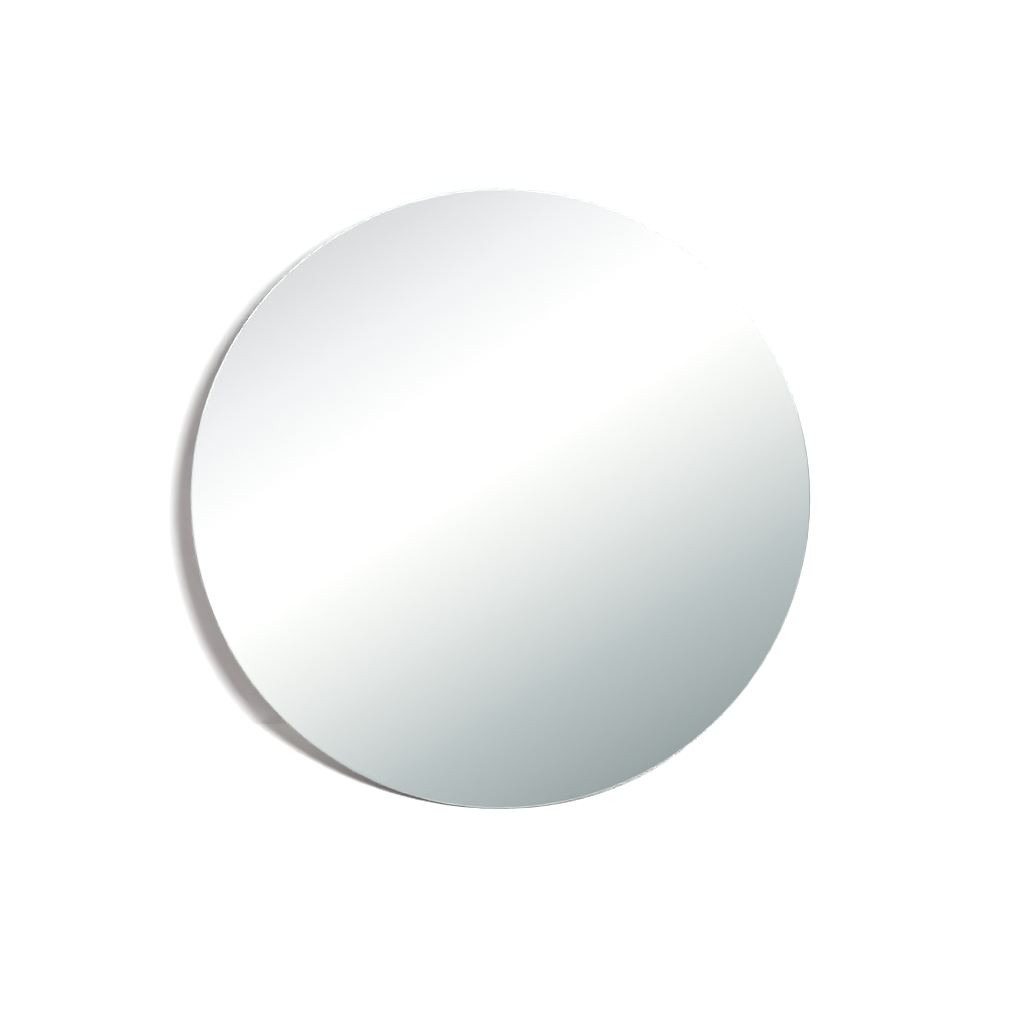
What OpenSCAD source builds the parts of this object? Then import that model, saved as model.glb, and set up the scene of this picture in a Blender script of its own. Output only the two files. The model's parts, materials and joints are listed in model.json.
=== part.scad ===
// Round frameless countertop mirror on a folding easel back.
// The origin lies on the counter, under the middle of the outline. +Z is up and the glass faces -Y.
// Two helper frames do the placing: in_mirror() leans with the glass, in_strut() swings with the strut.
// In both, X runs across, Y is the depth towards the back and Z runs up the piece.

/* [Glass] */
// Diameter of the round glass
glass_d = 250; // [240:1:260]
// Thickness of the glass
glass_t = 4; // [3:0.5:5]
// How far the ground arris along both rims runs down the edge
arris = 0.3; // [0.2:0.1:0.6]
// How far the arris cuts into the face
arris_in = 0.1; // [0.1:0.1:0.3]

/* [Stance] */
// How far the glass leans back from upright, in degrees
lean = 18; // [16:1:19]
// How far the strut opens from the back, in degrees
strut_open = 26; // [24:1:28]
// Gap between the lowest point of the glass and the counter
counter_gap = 0.9; // [0.5:0.1:1.5]

/* [Back] */
// Diameter of the back board
board_d = 236; // [228:1:238]
// Thickness of the back board
board_t = 5; // [5:0.5:6]
// Thickness of the foam mounting tape
tape_t = 1; // [0.8:0.1:1.2]
// Width of a strip of mounting tape
tape_w = 19; // [12:1:24]
// Number of tape strips
tape_count = 4; // [4:1:4]

/* [Strut] */
// Height of the hinge axis along the glass, from its bottom rim
axis_up = 168; // [164:1:172]
// Width of the strut at its hinge
strut_top_w = 54; // [50:1:60]
// Width of the strut at its foot
strut_foot_w = 84; // [76:1:86]
// Thickness of the strut's bare panel
strut_core_t = 3.5; // [3:0.5:3.5]
// Width of the slot in the foot that clears the heel
slot_w = 25; // [24:0.5:25]

/* [Hinge] */
// Width of the hinge
hinge_w = 50; // [45:1:50]
// Thickness of the hinge leaves
leaf_t = 1.2; // [1.2:0.1:1.3]
// Length of a leaf, from the hinge axis to its free end
leaf_l = 22; // [20:1:26]
// Radius of the hinge pin
pin_r = 2; // [1.8:0.1:2]
// Radial running clearance of the strut's knuckles on the pin
pin_play = 0.05; // [0.03:0.01:0.08]

/* [Ribbon stay] */
// Width of the ribbon
ribbon_w = 12; // [10:1:14]
// Distance from the hinge axis to the ribbon's bends, on the board and on the strut
ribbon_down = 96; // [90:1:100]

/* [Heel] */
// Width of the heel that the glass stands on
heel_w = 19; // [16:1:19]
// Depth of the heel behind the back board
heel_depth = 10; // [9:0.5:11]
// Height of the heel's top along the glass
heel_top = 24; // [22:1:25]
// Thickness of the rubber pad under the heel
pad_t = 2.5; // [2:0.5:3]

/* [Hidden] */

$fn = 96;
SMOOTH = 32; // facets of a rounded outline
FAR = 400; // longer than the object, for cutting boxes
EPS = 0.5; // how far a cutting tool runs past a face

// Thin layers
coat_t = 0.1;
coat_inset = 0.2;
cover_t = 0.3;
wrap_t = 0.25;
ribbon_t = 0.3;

// Depths behind the face of the glass
silver_y = glass_t;
paint_y = silver_y + coat_t;
tape_y = paint_y + coat_t;
board_y = tape_y + tape_t;
cover_y = board_y + board_t;
back_y = cover_y + cover_t;

// The folded strut lies this far off the back, and room for the ribbon is left between them
fold_gap = 1.3;
strut_t = strut_core_t + 2 * wrap_t;
barrel_r = (fold_gap + strut_t + leaf_t) / 2;
axis_y = back_y + barrel_r;

// Depths in the strut's own frame, from the hinge axis
strut_in = fold_gap - barrel_r;
strut_out = strut_in + strut_t;

// Where the mirror stands
glass_r = glass_d / 2;
board_r = board_d / 2;
rise = counter_gap + max((glass_t - arris) * sin(lean), glass_t * sin(lean) - arris_in * cos(lean));
splay = strut_open - lean;
axis_world_y = axis_y * cos(lean) + axis_up * sin(lean);
axis_world_z = rise - axis_y * sin(lean) + axis_up * cos(lean);
strut_l = axis_world_z / cos(splay);

// Rubber shoes on the strut's feet
shoe_wall = 0.9;
shoe_side = 1;
shoe_sole = 2;
shoe_h = 10;
shoe_drop = 1.5; // lowers the shoe's outline past the counter, which then cuts it level
shoe_out = strut_out + shoe_wall;

// The outline runs from the bottom edge of the face to the back of the shoes
front_y = arris_in * sin(lean);
rear_y = axis_world_y + axis_world_z * tan(splay) + shoe_out / cos(splay);
centre_y = (front_y + rear_y) / 2;

// Board bevel, hinge knuckles and the strut's top edge
board_bevel = 1;
cover_inset = 1.4;
wrap_inset = 0.3;
knuckles = 5;
knuckle_gap = 0.2;
knuckle_pitch = hinge_w / knuckles;
leaf_corner_r = 3;
leaf_relief = barrel_r + 0.45;
pin_chamfer = 0.4;
strut_top = 3.9;
strut_top_r = 3;
strut_foot_r = 4;

// Screws
screw_r = 1.2;
screw_head_r = screw_r + leaf_t;
screw_spread = 17;
screw_near = 12;
screw_far = 16.5;
board_screw_l = 5.8;
strut_screw_l = 4.5;
screw_tip = 1.4;
recess_w = 0.6;
recess_l = 2.8;
recess_deep = 0.7;
heel_screw_r = 1.5;
heel_screw_head_r = 2.8;
heel_screw_head_h = 2;
heel_screw_seat = 5;
heel_screw_l = 9.3;
heel_screw_spread = 4.8;
heel_screw_up = 15;
heel_bore_r = 3.1;

// Ribbon ends, the tack in the board and the eyelet through the strut. The board's end points up
// and the strut's points down, so that the tack and the eyelet miss each other when it folds.
tab_l = 11;
tab_hole = 5.5;
tack_head_r = 3.5;
tack_head_t = 0.5;
tack_r = 0.8;
tack_l = 3.8;
eyelet_flange_r = 3.5;
eyelet_flange_t = 0.5;
eyelet_r = 1.9;
eyelet_bore_r = 1.4;
ribbon_tack_up = axis_up - ribbon_down + tab_hole;
ribbon_eyelet_down = ribbon_down + tab_hole;

// Screw places on a leaf, as [across, distance from the axis]
leaf_screws = [[-screw_spread, screw_near], [0, screw_far], [screw_spread, screw_near]];

// A place in the strut's frame, as [depth, height] in the mirror's frame
function from_strut(y, z) = [
    axis_y + y * cos(strut_open) - z * sin(strut_open),
    axis_up + y * sin(strut_open) + z * cos(strut_open)
];

module in_mirror() {
    translate([0, -centre_y, rise]) rotate([-lean, 0, 0]) children();
}

module in_strut() {
    in_mirror() translate([0, axis_y, axis_up]) rotate([strut_open, 0, 0]) children();
}

// Takes away everything lower than a height above the counter
module above_counter(height) {
    difference() {
        children();
        translate([-FAR / 2, -FAR / 2, height - FAR]) cube([FAR, FAR, FAR]);
    }
}

// A round plate concentric with the glass
module disc(r, y, t) {
    translate([0, y, glass_r]) rotate([-90, 0, 0]) cylinder(r = r, h = t);
}

// An upright outline in X and Z, given depth from y to y + t
module upright(y, t) {
    translate([0, y + t, 0]) rotate([90, 0, 0]) linear_extrude(t) children();
}

// Children drawn along +Z, turned to point from the back towards the glass at depth y
module driven(x, y, z) {
    translate([x, y, z]) rotate([90, 0, 0]) children();
}

// Countersunk wood screw, its head at z = 0 and its tip along +Z
module flat_screw(length) {
    difference() {
        rotate_extrude() polygon([
            [0, 0], [screw_head_r, 0], [screw_r, leaf_t],
            [screw_r, length - screw_tip], [0, length]
        ]);
        cross_recess();
    }
}

// Pan-head wood screw, the underside of its head at z = 0 and its tip along +Z
module pan_screw() {
    difference() {
        rotate_extrude() polygon([
            [0, -heel_screw_head_h], [heel_screw_head_r - 0.8, -heel_screw_head_h],
            [heel_screw_head_r, -heel_screw_head_h + 0.8], [heel_screw_head_r, 0],
            [heel_screw_r, 0], [heel_screw_r, heel_screw_l - screw_tip], [0, heel_screw_l]
        ]);
        translate([0, 0, -heel_screw_head_h]) cross_recess();
    }
}

module cross_recess() {
    for (turn = [0, 90])
        rotate([0, 0, turn])
            translate([-recess_l / 2, -recess_w / 2, -EPS])
                cube([recess_l, recess_w, recess_deep + EPS]);
}

// ---- Glass and its coats ----

module mirror_glass() {
    color("lightcyan") in_mirror() translate([0, 0, glass_r]) rotate([-90, 0, 0])
        rotate_extrude($fn = 180) polygon([
            [0, 0], [glass_r - arris_in, 0], [glass_r, arris],
            [glass_r, glass_t - arris], [glass_r - arris_in, glass_t], [0, glass_t]
        ]);
}

module silver_coat() {
    color("silver") in_mirror() disc(glass_r - arris_in - coat_inset, silver_y, coat_t);
}

module backing_paint() {
    color("slategray") in_mirror() disc(glass_r - arris_in - coat_inset, paint_y, coat_t);
}

// ---- Back ----

// Strips stand upright and end a little inside the rim of the board
module tape_strip(index) {
    pitch = 2 * board_r / (tape_count + 1);
    x = (index - (tape_count + 1) / 2) * pitch;
    half = sqrt(pow(board_r - 4, 2) - pow(abs(x) + tape_w / 2, 2));
    color("white") in_mirror()
        translate([x - tape_w / 2, tape_y, glass_r - half]) cube([tape_w, tape_t, 2 * half]);
}

module back_board() {
    color("saddlebrown") in_mirror() difference() {
        translate([0, board_y, glass_r]) rotate([-90, 0, 0]) rotate_extrude() polygon([
            [0, 0], [board_r, 0], [board_r, board_t - board_bevel],
            [board_r - board_bevel, board_t], [0, board_t]
        ]);
        for (p = leaf_screws)
            driven(p[0], cover_y + EPS, axis_up + p[1]) cylinder(r = screw_r, h = board_t - 0.5 + EPS);
        for (side = [-1, 1])
            driven(side * heel_screw_spread, cover_y + EPS, heel_screw_up)
                cylinder(r = heel_screw_r, h = board_t - 0.5 + EPS);
        driven(0, cover_y + EPS, ribbon_tack_up) cylinder(r = tack_r, h = tack_l + EPS);
    }
}

module board_cover() {
    color("#1c1b1a") in_mirror() difference() {
        disc(board_r - cover_inset, cover_y, cover_t);
        for (p = leaf_screws)
            driven(p[0], back_y + EPS, axis_up + p[1]) cylinder(r = screw_r, h = cover_t + 2 * EPS);
        for (side = [-1, 1])
            driven(side * heel_screw_spread, back_y + EPS, heel_screw_up)
                cylinder(r = heel_screw_r, h = cover_t + 2 * EPS);
        driven(0, back_y + EPS, ribbon_tack_up) cylinder(r = tack_r, h = cover_t + 2 * EPS);
    }
}

// ---- Heel ----

module heel_outline(inset) {
    corner = 2;
    hull() for (side = [-1, 1]) {
        translate([side * (heel_w / 2 - inset - corner), heel_top - inset - corner])
            circle(r = corner, $fn = SMOOTH);
        translate([side * (heel_w / 2 - inset - corner), -corner])
            circle(r = corner, $fn = SMOOTH);
    }
}

module heel_block() {
    color("#202020") above_counter(pad_t) in_mirror() difference() {
        upright(back_y, heel_depth) heel_outline(0);
        for (side = [-1, 1]) {
            driven(side * heel_screw_spread, back_y + heel_depth + EPS, heel_screw_up)
                cylinder(r = heel_bore_r, h = heel_depth - heel_screw_seat + EPS);
            driven(side * heel_screw_spread, back_y + heel_depth, heel_screw_up)
                cylinder(r = heel_screw_r, h = heel_depth + EPS);
        }
    }
}

module heel_pad() {
    color("#101010") intersection() {
        above_counter(0) in_mirror() upright(back_y + 0.3, heel_depth - 0.6) heel_outline(0.4);
        translate([-FAR / 2, -FAR / 2, 0]) cube([FAR, FAR, pad_t]);
    }
}

module heel_screws() {
    color("lightsteelblue") in_mirror() for (side = [-1, 1])
        driven(side * heel_screw_spread, back_y + heel_screw_seat, heel_screw_up) pan_screw();
}

// ---- Hinge ----

// One leaf, its barrel on the X axis and its plate along +Z on the side of -Y.
// own lists the leaf's knuckles, counted from -X, and bore is the radius of their hole.
// The screws sink in from +Y, or from -Y where the leaf is turned over.
module hinge_leaf(own, bore, turned = false) {
    others = [for (k = [0 : knuckles - 1]) if (len(search(k, own)) == 0) k];
    difference() {
        union() {
            for (k = own)
                translate([-hinge_w / 2 + k * knuckle_pitch + knuckle_gap / 2, 0, 0])
                    rotate([0, 90, 0]) cylinder(r = barrel_r, h = knuckle_pitch - knuckle_gap);
            upright(-barrel_r, leaf_t) leaf_outline();
        }
        rotate([0, 90, 0]) cylinder(r = bore, h = hinge_w + 2, center = true);
        for (k = others)
            translate([-hinge_w / 2 + k * knuckle_pitch - knuckle_gap / 2, -barrel_r - EPS, -barrel_r])
                cube([knuckle_pitch + knuckle_gap, 2 * barrel_r, barrel_r + leaf_relief]);
        for (p = leaf_screws)
            translate([p[0], turned ? -barrel_r : leaf_t - barrel_r, p[1]])
                rotate([turned ? -90 : 90, 0, 0]) {
                    cylinder(r1 = screw_head_r, r2 = screw_r, h = leaf_t);
                    cylinder(r = screw_r, h = leaf_t + EPS);
                }
    }
}

module leaf_outline() {
    half = hinge_w / 2 - knuckle_gap / 2;
    translate([-half, 0]) square([2 * half, leaf_l - leaf_corner_r]);
    translate([-half + leaf_corner_r, 0]) square([2 * (half - leaf_corner_r), leaf_l]);
    for (side = [-1, 1])
        translate([side * (half - leaf_corner_r), leaf_l - leaf_corner_r]) circle(r = leaf_corner_r);
}

module hinge_board_leaf() {
    color("gainsboro") in_mirror() translate([0, axis_y, axis_up]) hinge_leaf([0, 2, 4], pin_r);
}

// The strut's leaf is the same pressing, turned over so that it covers the back of the strut
module hinge_strut_leaf() {
    color("gainsboro") in_strut() rotate([180, 0, 0]) hinge_leaf([1, 3], pin_r + pin_play, true);
}

module hinge_pin() {
    half = hinge_w / 2;
    color("silver") in_mirror() translate([0, axis_y, axis_up]) rotate([0, 90, 0])
        rotate_extrude() polygon([
            [0, -half], [pin_r - pin_chamfer, -half], [pin_r, -half + pin_chamfer],
            [pin_r, half - pin_chamfer], [pin_r - pin_chamfer, half], [0, half]
        ]);
}

module hinge_board_screws() {
    color("lightsteelblue") in_mirror() for (p = leaf_screws)
        driven(p[0], back_y + leaf_t, axis_up + p[1]) flat_screw(board_screw_l);
}

module hinge_strut_screws() {
    color("lightsteelblue") in_strut() for (p = leaf_screws)
        driven(p[0], strut_out + leaf_t, -p[1]) flat_screw(strut_screw_l);
}

// ---- Strut ----

// The outline narrows towards the hinge, and its foot has a slot that straddles the heel.
// It shrinks by inset all round, and drop lowers its bottom edge.
module strut_outline(inset, drop = 0) {
    top_x = strut_top_w / 2 - strut_top_r;
    foot_x = strut_foot_w / 2 - strut_foot_r;
    slot_down = axis_up - heel_top;
    difference() {
        hull() for (side = [-1, 1]) {
            translate([side * top_x, -strut_top - strut_top_r])
                circle(r = strut_top_r - inset, $fn = SMOOTH);
            translate([side * foot_x, -strut_l + shoe_sole + strut_foot_r - drop])
                circle(r = strut_foot_r - inset, $fn = SMOOTH);
        }
        translate([0, -slot_down]) circle(r = slot_w / 2 + inset);
        translate([-slot_w / 2 - inset, -slot_down - FAR]) square([slot_w + 2 * inset, FAR]);
    }
}

module strut_holes() {
    for (p = leaf_screws)
        driven(p[0], strut_out + EPS, -p[1]) cylinder(r = screw_r, h = strut_screw_l - leaf_t + EPS);
    driven(0, strut_out + EPS, -ribbon_eyelet_down) cylinder(r = eyelet_r, h = strut_t + 2 * EPS);
}

// A flat layer of the strut, cut level above the soles of the shoes
module strut_layer(y, t, inset) {
    above_counter(shoe_sole) in_strut() difference() {
        upright(y, t) strut_outline(inset);
        strut_holes();
    }
}

module strut_panel() {
    color("#2a2826") strut_layer(strut_in + wrap_t, strut_core_t, 0);
}

module strut_wrap_inner() {
    color("#1c1b1a") strut_layer(strut_in, wrap_t, wrap_inset);
}

module strut_wrap_outer() {
    color("#1c1b1a") strut_layer(strut_out - wrap_t, wrap_t, wrap_inset);
}

// A rubber shoe is a shallow cup around the end of one leg, side -1 or 1
module strut_shoe(side) {
    color("#101010") difference() {
        above_counter(0) in_strut() upright(strut_in - shoe_wall, strut_t + 2 * shoe_wall)
            intersection() {
                strut_outline(-shoe_side, shoe_drop);
                translate([side < 0 ? -FAR : 0, -strut_l + shoe_h - FAR]) square(FAR);
            }
        above_counter(shoe_sole) in_strut() upright(strut_in, strut_t) strut_outline(0);
    }
}

// ---- Ribbon stay ----

// Each end of the ribbon lies flat for a short tab, which starts at height low and has a hole
// for the tack or the eyelet at height hole
module ribbon_tab(y, low, hole, hole_r) {
    difference() {
        upright(y, ribbon_t) translate([-ribbon_w / 2, low]) square([ribbon_w, tab_l]);
        driven(0, y + ribbon_t + EPS, hole) cylinder(r = hole_r, h = ribbon_t + 2 * EPS);
    }
}

module ribbon_edge(at) {
    translate([0, at[0], at[1]]) rotate([0, 90, 0])
        cylinder(r = ribbon_t / 2, h = ribbon_w, center = true, $fn = 16);
}

module stay_ribbon() {
    half_t = ribbon_t / 2;
    board_bend = axis_up - ribbon_down;
    color("#181818") {
        in_mirror() {
            ribbon_tab(back_y, board_bend, ribbon_tack_up, tack_r);
            hull() {
                ribbon_edge([back_y + half_t, board_bend + half_t]);
                ribbon_edge(from_strut(strut_in - half_t, -ribbon_down - half_t));
            }
        }
        in_strut()
            ribbon_tab(strut_in - ribbon_t, -ribbon_down - tab_l, -ribbon_eyelet_down, eyelet_r);
    }
}

module ribbon_tack() {
    color("silver") in_mirror() driven(0, back_y + ribbon_t, ribbon_tack_up)
        rotate_extrude() polygon([
            [0, -tack_head_t], [tack_head_r - 0.3, -tack_head_t], [tack_head_r, 0],
            [tack_r, 0], [tack_r, tack_l - 1], [0, tack_l]
        ]);
}

module ribbon_eyelet() {
    grip = ribbon_t + strut_t;
    color("silver") in_strut() driven(0, strut_out, -ribbon_eyelet_down)
        rotate_extrude() polygon([
            [eyelet_bore_r, -eyelet_flange_t], [eyelet_flange_r, -eyelet_flange_t],
            [eyelet_flange_r, 0], [eyelet_r, 0], [eyelet_r, grip], [eyelet_flange_r, grip],
            [eyelet_flange_r, grip + eyelet_flange_t], [eyelet_bore_r, grip + eyelet_flange_t]
        ]);
}

// ---- Drawing ----

mirror_glass();
silver_coat();
backing_paint();
tape_strip(1);  // tape_strip_1
tape_strip(2);  // tape_strip_2
tape_strip(3);  // tape_strip_3
tape_strip(4);  // tape_strip_4
back_board();
board_cover();
heel_block();
heel_pad();
heel_screws();
hinge_board_leaf();
hinge_board_screws();
hinge_pin();
ribbon_tack();
stay_ribbon();
strut_panel();
strut_wrap_inner();
strut_wrap_outer();
hinge_strut_leaf();
hinge_strut_screws();
ribbon_eyelet();
strut_shoe(-1);  // strut_shoe_left
strut_shoe(1);  // strut_shoe_right
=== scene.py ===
import json
import math

import bmesh
import bpy
from mathutils import Matrix, Vector


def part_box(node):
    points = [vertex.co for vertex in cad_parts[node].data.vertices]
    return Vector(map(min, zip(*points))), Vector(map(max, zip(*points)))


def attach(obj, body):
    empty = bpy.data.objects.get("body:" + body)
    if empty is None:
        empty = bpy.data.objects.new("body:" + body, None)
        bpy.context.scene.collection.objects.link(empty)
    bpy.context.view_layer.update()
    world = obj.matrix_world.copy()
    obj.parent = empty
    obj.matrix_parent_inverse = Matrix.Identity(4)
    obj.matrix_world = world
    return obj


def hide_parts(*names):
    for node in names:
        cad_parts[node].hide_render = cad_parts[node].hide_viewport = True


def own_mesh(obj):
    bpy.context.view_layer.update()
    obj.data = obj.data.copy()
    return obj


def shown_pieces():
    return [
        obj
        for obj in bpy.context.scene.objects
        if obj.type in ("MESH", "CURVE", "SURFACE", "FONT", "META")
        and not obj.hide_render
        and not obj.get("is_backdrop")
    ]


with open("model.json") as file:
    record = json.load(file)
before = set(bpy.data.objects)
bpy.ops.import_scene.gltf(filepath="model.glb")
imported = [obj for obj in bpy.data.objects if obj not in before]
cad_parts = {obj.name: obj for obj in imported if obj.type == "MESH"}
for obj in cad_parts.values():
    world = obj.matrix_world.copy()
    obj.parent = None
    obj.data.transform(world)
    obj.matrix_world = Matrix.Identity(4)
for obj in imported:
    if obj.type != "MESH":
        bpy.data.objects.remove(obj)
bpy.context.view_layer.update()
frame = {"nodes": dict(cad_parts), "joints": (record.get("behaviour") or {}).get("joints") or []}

# Two local frames do the placing, as in the CAD: one leans with the glass and one swings with the
# strut. In both, X runs across, Y is the depth towards the back and Z runs up the piece. Meshes are
# drawn there in millimetres, and the glass stands at depth 0 with its lowest point at height 0.
MM = 0.001
LEAN = math.radians(18)
STRUT_OPEN = math.radians(26)
GLASS_R = 125
GLASS_T = 4

glass_low, glass_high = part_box("mirror_glass")
leaning = Matrix.Rotation(-LEAN, 4, "X")
MIRROR = Matrix.Translation((glass_low + glass_high) / 2) @ leaning
MIRROR = MIRROR @ Matrix.Translation((0, -GLASS_T / 2 * MM, -GLASS_R * MM))
HINGE = MIRROR.inverted() @ Vector(frame["joints"][0]["pos_m"]) / MM
STRUT = MIRROR @ Matrix.Translation(HINGE * MM) @ Matrix.Rotation(STRUT_OPEN, 4, "X")
BACKWARD = Matrix.Rotation(math.radians(-90), 4, "X")  # turns +Z to the back
FORWARD = Matrix.Rotation(math.radians(90), 4, "X")  # turns +Z to the glass
ACROSS = Matrix.Rotation(math.radians(90), 4, "Y")  # turns +Z to +X


# ---------------------------------------------------------------- materials


class Recipe:
    """One material on a Principled shader, with its textures measured in millimetres."""

    def __init__(self, name, colour, roughness, home=MIRROR, **constants):
        self.material = bpy.data.materials.new(name)
        self.material.use_nodes = True
        self.tree = self.material.node_tree
        self.shader = self.tree.nodes["Principled BSDF"]
        self.shader.inputs["Base Color"].default_value = (*colour, 1)
        self.shader.inputs["Roughness"].default_value = roughness
        for socket, value in constants.items():
            self.shader.inputs[socket.replace("_", " ")].default_value = value
        into = home.inverted()
        mapping = self.node("Mapping")
        self.set(mapping.inputs["Vector"], self.node("TexCoord").outputs["Object"])
        mapping.inputs["Location"].default_value = into.translation / MM
        mapping.inputs["Rotation"].default_value = into.to_euler()
        mapping.inputs["Scale"].default_value = (1 / MM,) * 3
        self.place = mapping.outputs[0]

    def node(self, kind, **settings):
        made = self.tree.nodes.new("ShaderNode" + kind)
        for key, value in settings.items():
            setattr(made, key, value)
        return made

    def set(self, socket, value):
        if isinstance(value, bpy.types.NodeSocket):
            self.tree.links.new(value, socket)
        elif isinstance(value, tuple) and len(value) == 3 and socket.type == "RGBA":
            socket.default_value = (*value, 1)
        else:
            socket.default_value = value

    def stretched(self, scale):
        made = self.node("VectorMath", operation="MULTIPLY")
        self.set(made.inputs[0], self.place)
        self.set(made.inputs[1], scale)
        return made.outputs[0]

    def noise(self, size, detail=3.0, roughness=0.5, place=None):
        made = self.node("TexNoise")
        self.set(made.inputs["Vector"], place or self.place)
        self.set(made.inputs["Scale"], 1 / size)
        self.set(made.inputs["Detail"], detail)
        self.set(made.inputs["Roughness"], roughness)
        return made.outputs["Fac"]

    def cells(self, size, feature="F1", place=None):
        made = self.node("TexVoronoi", feature=feature)
        self.set(made.inputs["Vector"], place or self.place)
        self.set(made.inputs["Scale"], 1 / size)
        if feature == "SMOOTH_F1":
            self.set(made.inputs["Smoothness"], 0.5)
        return made.outputs["Distance"]

    def warped(self, size, by, place=None):
        """The place moved about by a noise, so that a pattern on it isn't regular."""
        noise = self.node("TexNoise")
        self.set(noise.inputs["Vector"], place or self.place)
        self.set(noise.inputs["Scale"], 1 / size)
        moved = self.node("VectorMath", operation="MULTIPLY_ADD")
        self.set(moved.inputs[0], noise.outputs["Color"])
        self.set(moved.inputs[1], (by, by, by))
        self.set(moved.inputs[2], place or self.place)
        return moved.outputs[0]

    def levels(self, value, low, high, to_low=0.0, to_high=1.0, smooth=False):
        made = self.node("MapRange", interpolation_type="SMOOTHSTEP" if smooth else "LINEAR")
        for index, part in enumerate((value, low, high, to_low, to_high)):
            self.set(made.inputs[index], part)
        return made.outputs[0]

    def maths(self, operation, a, b=0.0):
        made = self.node("Math", operation=operation)
        self.set(made.inputs[0], a)
        self.set(made.inputs[1], b)
        return made.outputs[0]

    def axis(self, name, place=None):
        made = self.node("SeparateXYZ")
        self.set(made.inputs[0], place or self.place)
        return made.outputs[name]

    def blend(self, factor, a, b):
        made = self.node("Mix", data_type="RGBA")
        self.set(made.inputs[0], factor)
        self.set(made.inputs[6], a)
        self.set(made.inputs[7], b)
        return made.outputs[2]

    def relief(self, height, depth):
        """Adds a bump, depth millimetres from its lowest to its highest, on those before it."""
        made = self.node("Bump")
        self.set(made.inputs["Height"], height)
        self.set(made.inputs["Distance"], depth * MM)
        normal = self.shader.inputs["Normal"]
        if normal.is_linked:
            self.set(made.inputs["Normal"], normal.links[0].from_socket)
        self.set(normal, made.outputs["Normal"])

    def colour(self, value):
        self.set(self.shader.inputs["Base Color"], value)

    def rough(self, value):
        self.set(self.shader.inputs["Roughness"], value)


GLASS_ABSORBS = (0.3, 0.82, 0.7)
GLASS_DENSITY = 14


def glass(name, roughness):
    """Clear float glass, which darkens to green along the light's way through it."""
    made = Recipe(name, (1, 1, 1), roughness, Transmission_Weight=1.0, IOR=1.52)
    absorption = made.node("VolumeAbsorption")
    made.set(absorption.inputs["Color"], GLASS_ABSORBS)
    made.set(absorption.inputs["Density"], GLASS_DENSITY)
    output = made.tree.nodes["Material Output"]
    made.set(output.inputs["Volume"], absorption.outputs[0])
    return made


def glass_edge():
    """The flat of the edge, polished with a wheel that leaves fine lines along the rim."""
    made = glass("glass_edge", 0.06)
    made.shader.inputs["Base Color"].default_value = (0.62, 0.77, 0.72, 1)
    made.shader.inputs["Transmission Weight"].default_value = 0.8
    lines = made.noise(1, 2, place=made.stretched((0.02, 9, 0.02)))
    made.relief(lines, 0.004)
    return made.material


def glass_arris():
    """The two ground arrises, left satin by a fine belt."""
    made = glass("glass_arris", 0.2)
    made.shader.inputs["Base Color"].default_value = (0.95, 0.98, 0.965, 1)
    made.shader.inputs["Transmission Weight"].default_value = 0.85
    made.rough(made.levels(made.noise(0.9), 0.3, 0.7, 0.14, 0.28))
    made.relief(made.noise(0.12, 2), 0.004)
    return made.material


def silver():
    made = Recipe("silver", (0.955, 0.955, 0.94), 0.0, Metallic=1.0)
    return made.material


def backing_paint():
    """Sprayed grey paint with orange peel and a few paler flecks."""
    made = Recipe("backing_paint", (0.13, 0.14, 0.145), 0.5)
    cloud = made.noise(14, 4)
    fleck = made.levels(made.noise(0.7, 2), 0.68, 0.75)
    base = made.blend(made.levels(cloud, 0.35, 0.65), (0.11, 0.118, 0.125), (0.16, 0.17, 0.175))
    made.colour(made.blend(made.maths("MULTIPLY", fleck, 0.25), base, (0.3, 0.31, 0.31)))
    made.rough(made.levels(made.noise(3), 0.3, 0.7, 0.4, 0.58))
    made.relief(made.noise(1.6, 1), 0.03)
    return made.material


def foam():
    """White foam of the mounting tape, cut through its cells at the edge."""
    made = Recipe("foam", (0.78, 0.77, 0.73), 0.9, Subsurface_Weight=0.15)
    made.shader.inputs["Subsurface Radius"].default_value = (0.6, 0.5, 0.4)
    made.shader.inputs["Subsurface Scale"].default_value = MM
    cell = made.cells(0.28)
    # The cells' hollows are coloured darker than their rims: painted shade in the hollows.
    made.colour(made.blend(made.levels(cell, 0.1, 0.7), (0.6, 0.58, 0.54), (0.84, 0.83, 0.8)))
    made.relief(cell, 0.1)
    return made.material


def board_edge(name, home):
    """Hardboard sprayed black on its cut edge, with the pressed fibres still showing."""
    made = Recipe(name, (0.022, 0.020, 0.019), 0.7, home)
    fibre = made.noise(0.5, 4, 0.65, place=made.warped(2, 0.8))
    layers = made.noise(0.35, 3, place=made.stretched((0.12, 1.6, 0.12)))
    mixed = made.maths("MULTIPLY", fibre, layers)
    worn = made.levels(made.noise(5, 5, 0.7), 0.6, 0.72, smooth=True)
    base = made.blend(made.levels(mixed, 0.15, 0.4), (0.014, 0.013, 0.012), (0.042, 0.037, 0.033))
    made.colour(made.blend(made.maths("MULTIPLY", worn, 0.4), base, (0.12, 0.075, 0.045)))
    made.rough(made.levels(mixed, 0.15, 0.4, 0.82, 0.6))
    made.relief(mixed, 0.16)
    return made.material


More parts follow.
